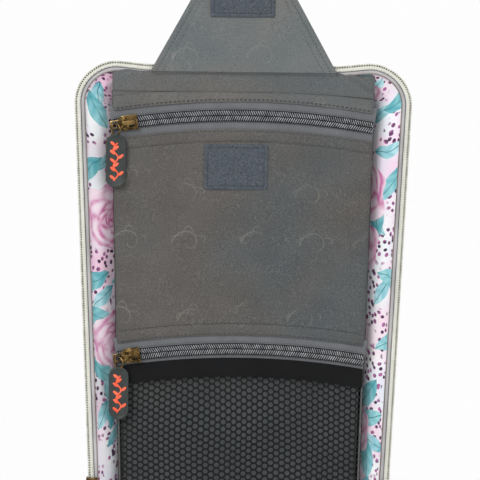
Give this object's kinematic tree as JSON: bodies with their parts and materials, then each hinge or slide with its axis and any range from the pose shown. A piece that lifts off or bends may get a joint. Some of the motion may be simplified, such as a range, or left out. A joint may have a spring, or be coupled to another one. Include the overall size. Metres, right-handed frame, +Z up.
{
  "type": "hanging toiletry bag",
  "caption": "Fold-out hanging toiletry bag: zipped organiser half with flap, open tray half on a fabric spine, perimeter zip and hook-and-loop hanging flap.",
  "frame": {"origin": "middle of the hanging flap's fold line, on the plane where the two halves meet when closed", "axes": "+Z up as the bag hangs, -Y out of the open side, +X to the viewer's right"},
  "size_m": [0.2036, 0.0364, 0.6491],
  "materials": {
    "floral_fabric": "printed woven fabric, matt",
    "board": "flexible board",
    "ivory_tape": "ribbed woven tape",
    "ivory_teeth": "fine coil teeth",
    "taupe_binding": "bias binding",
    "grey_tape": "woven tape",
    "coil": "nylon coil",
    "antique_brass": "darkened brass, worn bright on the edges",
    "tab_rubber": "moulded rubber",
    "hook_and_loop": "fuzzy loop tape",
    "black_mesh": "hexagonal net",
    "black_trim": "black grosgrain",
    "grey_lining": "warm grey lining with a faint tone-on-tone motif"
  },
  "bodies": {
    "upper_half": {"flap_anchor": "grey_lining", "mesh_hem": "black_trim", "mesh_lining": "grey_lining", "mesh_panel": "black_mesh", "mesh_trim": "black_trim", "organiser_backing": "grey_lining", "organiser_side_left": "grey_lining", "organiser_side_right": "grey_lining", "panel_patch": "hook_and_loop", "pocket_divider": "grey_lining", "pocket_panel": "grey_lining", "spine_hinge": "grey_lining", "top_facing": "grey_lining", "upper_back_panel": "floral_fabric", "upper_binding": "taupe_binding", "upper_gusset": "floral_fabric", "upper_stiffener": "board", "upper_zip_tape": "ivory_tape", "upper_zip_teeth": "ivory_teeth", "zip1_coil_lower": "coil", "zip1_coil_upper": "coil", "zip1_tape_lower": "grey_tape", "zip1_tape_upper": "grey_tape", "zip2_coil_lower": "coil", "zip2_coil_upper": "coil", "zip2_tape_lower": "grey_tape", "zip2_tape_upper": "grey_tape"},
    "hanging_flap": {"flap_panel": "grey_lining", "flap_patch": "hook_and_loop"},
    "lower_half": {"lower_binding": "taupe_binding", "lower_cover_panel": "floral_fabric", "lower_gusset": "floral_fabric", "lower_lining": "grey_lining", "lower_mesh_elastic": "black_trim", "lower_mesh_pocket": "black_mesh", "lower_stiffener": "board", "lower_zip_tape": "ivory_tape", "lower_zip_teeth": "ivory_teeth", "spine_flange": "grey_lining"},
    "zip1_slider_body": {"zip1_slider": "antique_brass"},
    "zip1_link_body": {"zip1_link": "antique_brass"},
    "zip1_tab_body": {"zip1_ring": "antique_brass", "zip1_pull_tab": "tab_rubber"},
    "zip2_slider_body": {"zip2_slider": "antique_brass"},
    "zip2_link_body": {"zip2_link": "antique_brass"},
    "zip2_tab_body": {"zip2_ring": "antique_brass", "zip2_pull_tab": "tab_rubber"},
    "main_slider_left_body": {"main_slider_left": "antique_brass"},
    "main_pull_left_body": {"main_pull_left": "antique_brass"},
    "main_slider_right_body": {"main_slider_right": "antique_brass"},
    "main_pull_right_body": {"main_pull_right": "antique_brass"}
  },
  "joints": [
    {"name": "flap_fold", "type": "hinge", "parent": "upper_half", "child": "hanging_flap", "pos_m": [0, 0, 0], "axis": [1, 0, 0], "range_deg": [0, 179]},
    {"name": "spine_fold", "type": "hinge", "parent": "upper_half", "child": "lower_half", "pos_m": [0, 0, -0.281], "axis": [-1, 0, 0], "range_deg": [0, 180]},
    {"name": "zip1_travel", "type": "hinge", "parent": "upper_half", "child": "zip1_slider_body", "pos_m": [0, 0, -0.4953], "axis": [0, 1, 0], "range_deg": [0, 16.49]},
    {"name": "zip1_link_flip", "type": "hinge", "parent": "zip1_slider_body", "child": "zip1_link_body", "pos_m": [-0.0695, 0.0014, -0.03148], "axis": [-0.1482, 0, 0.989], "range_deg": [0, 150]},
    {"name": "zip1_tab_swing", "type": "hinge", "parent": "zip1_link_body", "child": "zip1_tab_body", "pos_m": [-0.07666, 0.0014, -0.03225], "axis": [0, 1, 0], "range_deg": [-15, 15]},
    {"name": "zip2_travel", "type": "hinge", "parent": "upper_half", "child": "zip2_slider_body", "pos_m": [0, 0, -0.638], "axis": [0, 1, 0], "range_deg": [0, 15.56]},
    {"name": "zip2_link_flip", "type": "hinge", "parent": "zip2_slider_body", "child": "zip2_link_body", "pos_m": [-0.067, 0.0014, -0.17381], "axis": [-0.1429, 0, 0.9897], "range_deg": [0, 150]},
    {"name": "zip2_tab_swing", "type": "hinge", "parent": "zip2_link_body", "child": "zip2_tab_body", "pos_m": [-0.07417, 0.0014, -0.17454], "axis": [0, 1, 0], "range_deg": [-15, 15]},
    {"name": "main_left_travel", "type": "slide", "parent": "upper_half", "child": "main_slider_left_body", "axis": [-0.0393, 0, 0.9992], "range_m": [0, 0.225]},
    {"name": "main_left_pull_flip", "type": "hinge", "parent": "main_slider_left_body", "child": "main_pull_left_body", "pos_m": [-0.09144, 0.00085, -0.256], "axis": [-0.9992, 0, -0.0393], "range_deg": [0, 175]},
    {"name": "main_right_travel", "type": "slide", "parent": "upper_half", "child": "main_slider_right_body", "axis": [0.0393, 0, 0.9992], "range_m": [0, 0.225]},
    {"name": "main_right_pull_flip", "type": "hinge", "parent": "main_slider_right_body", "child": "main_pull_right_body", "pos_m": [0.09144, 0.00085, -0.256], "axis": [-0.9992, 0, 0.0393], "range_deg": [0, 175]}
  ]
}
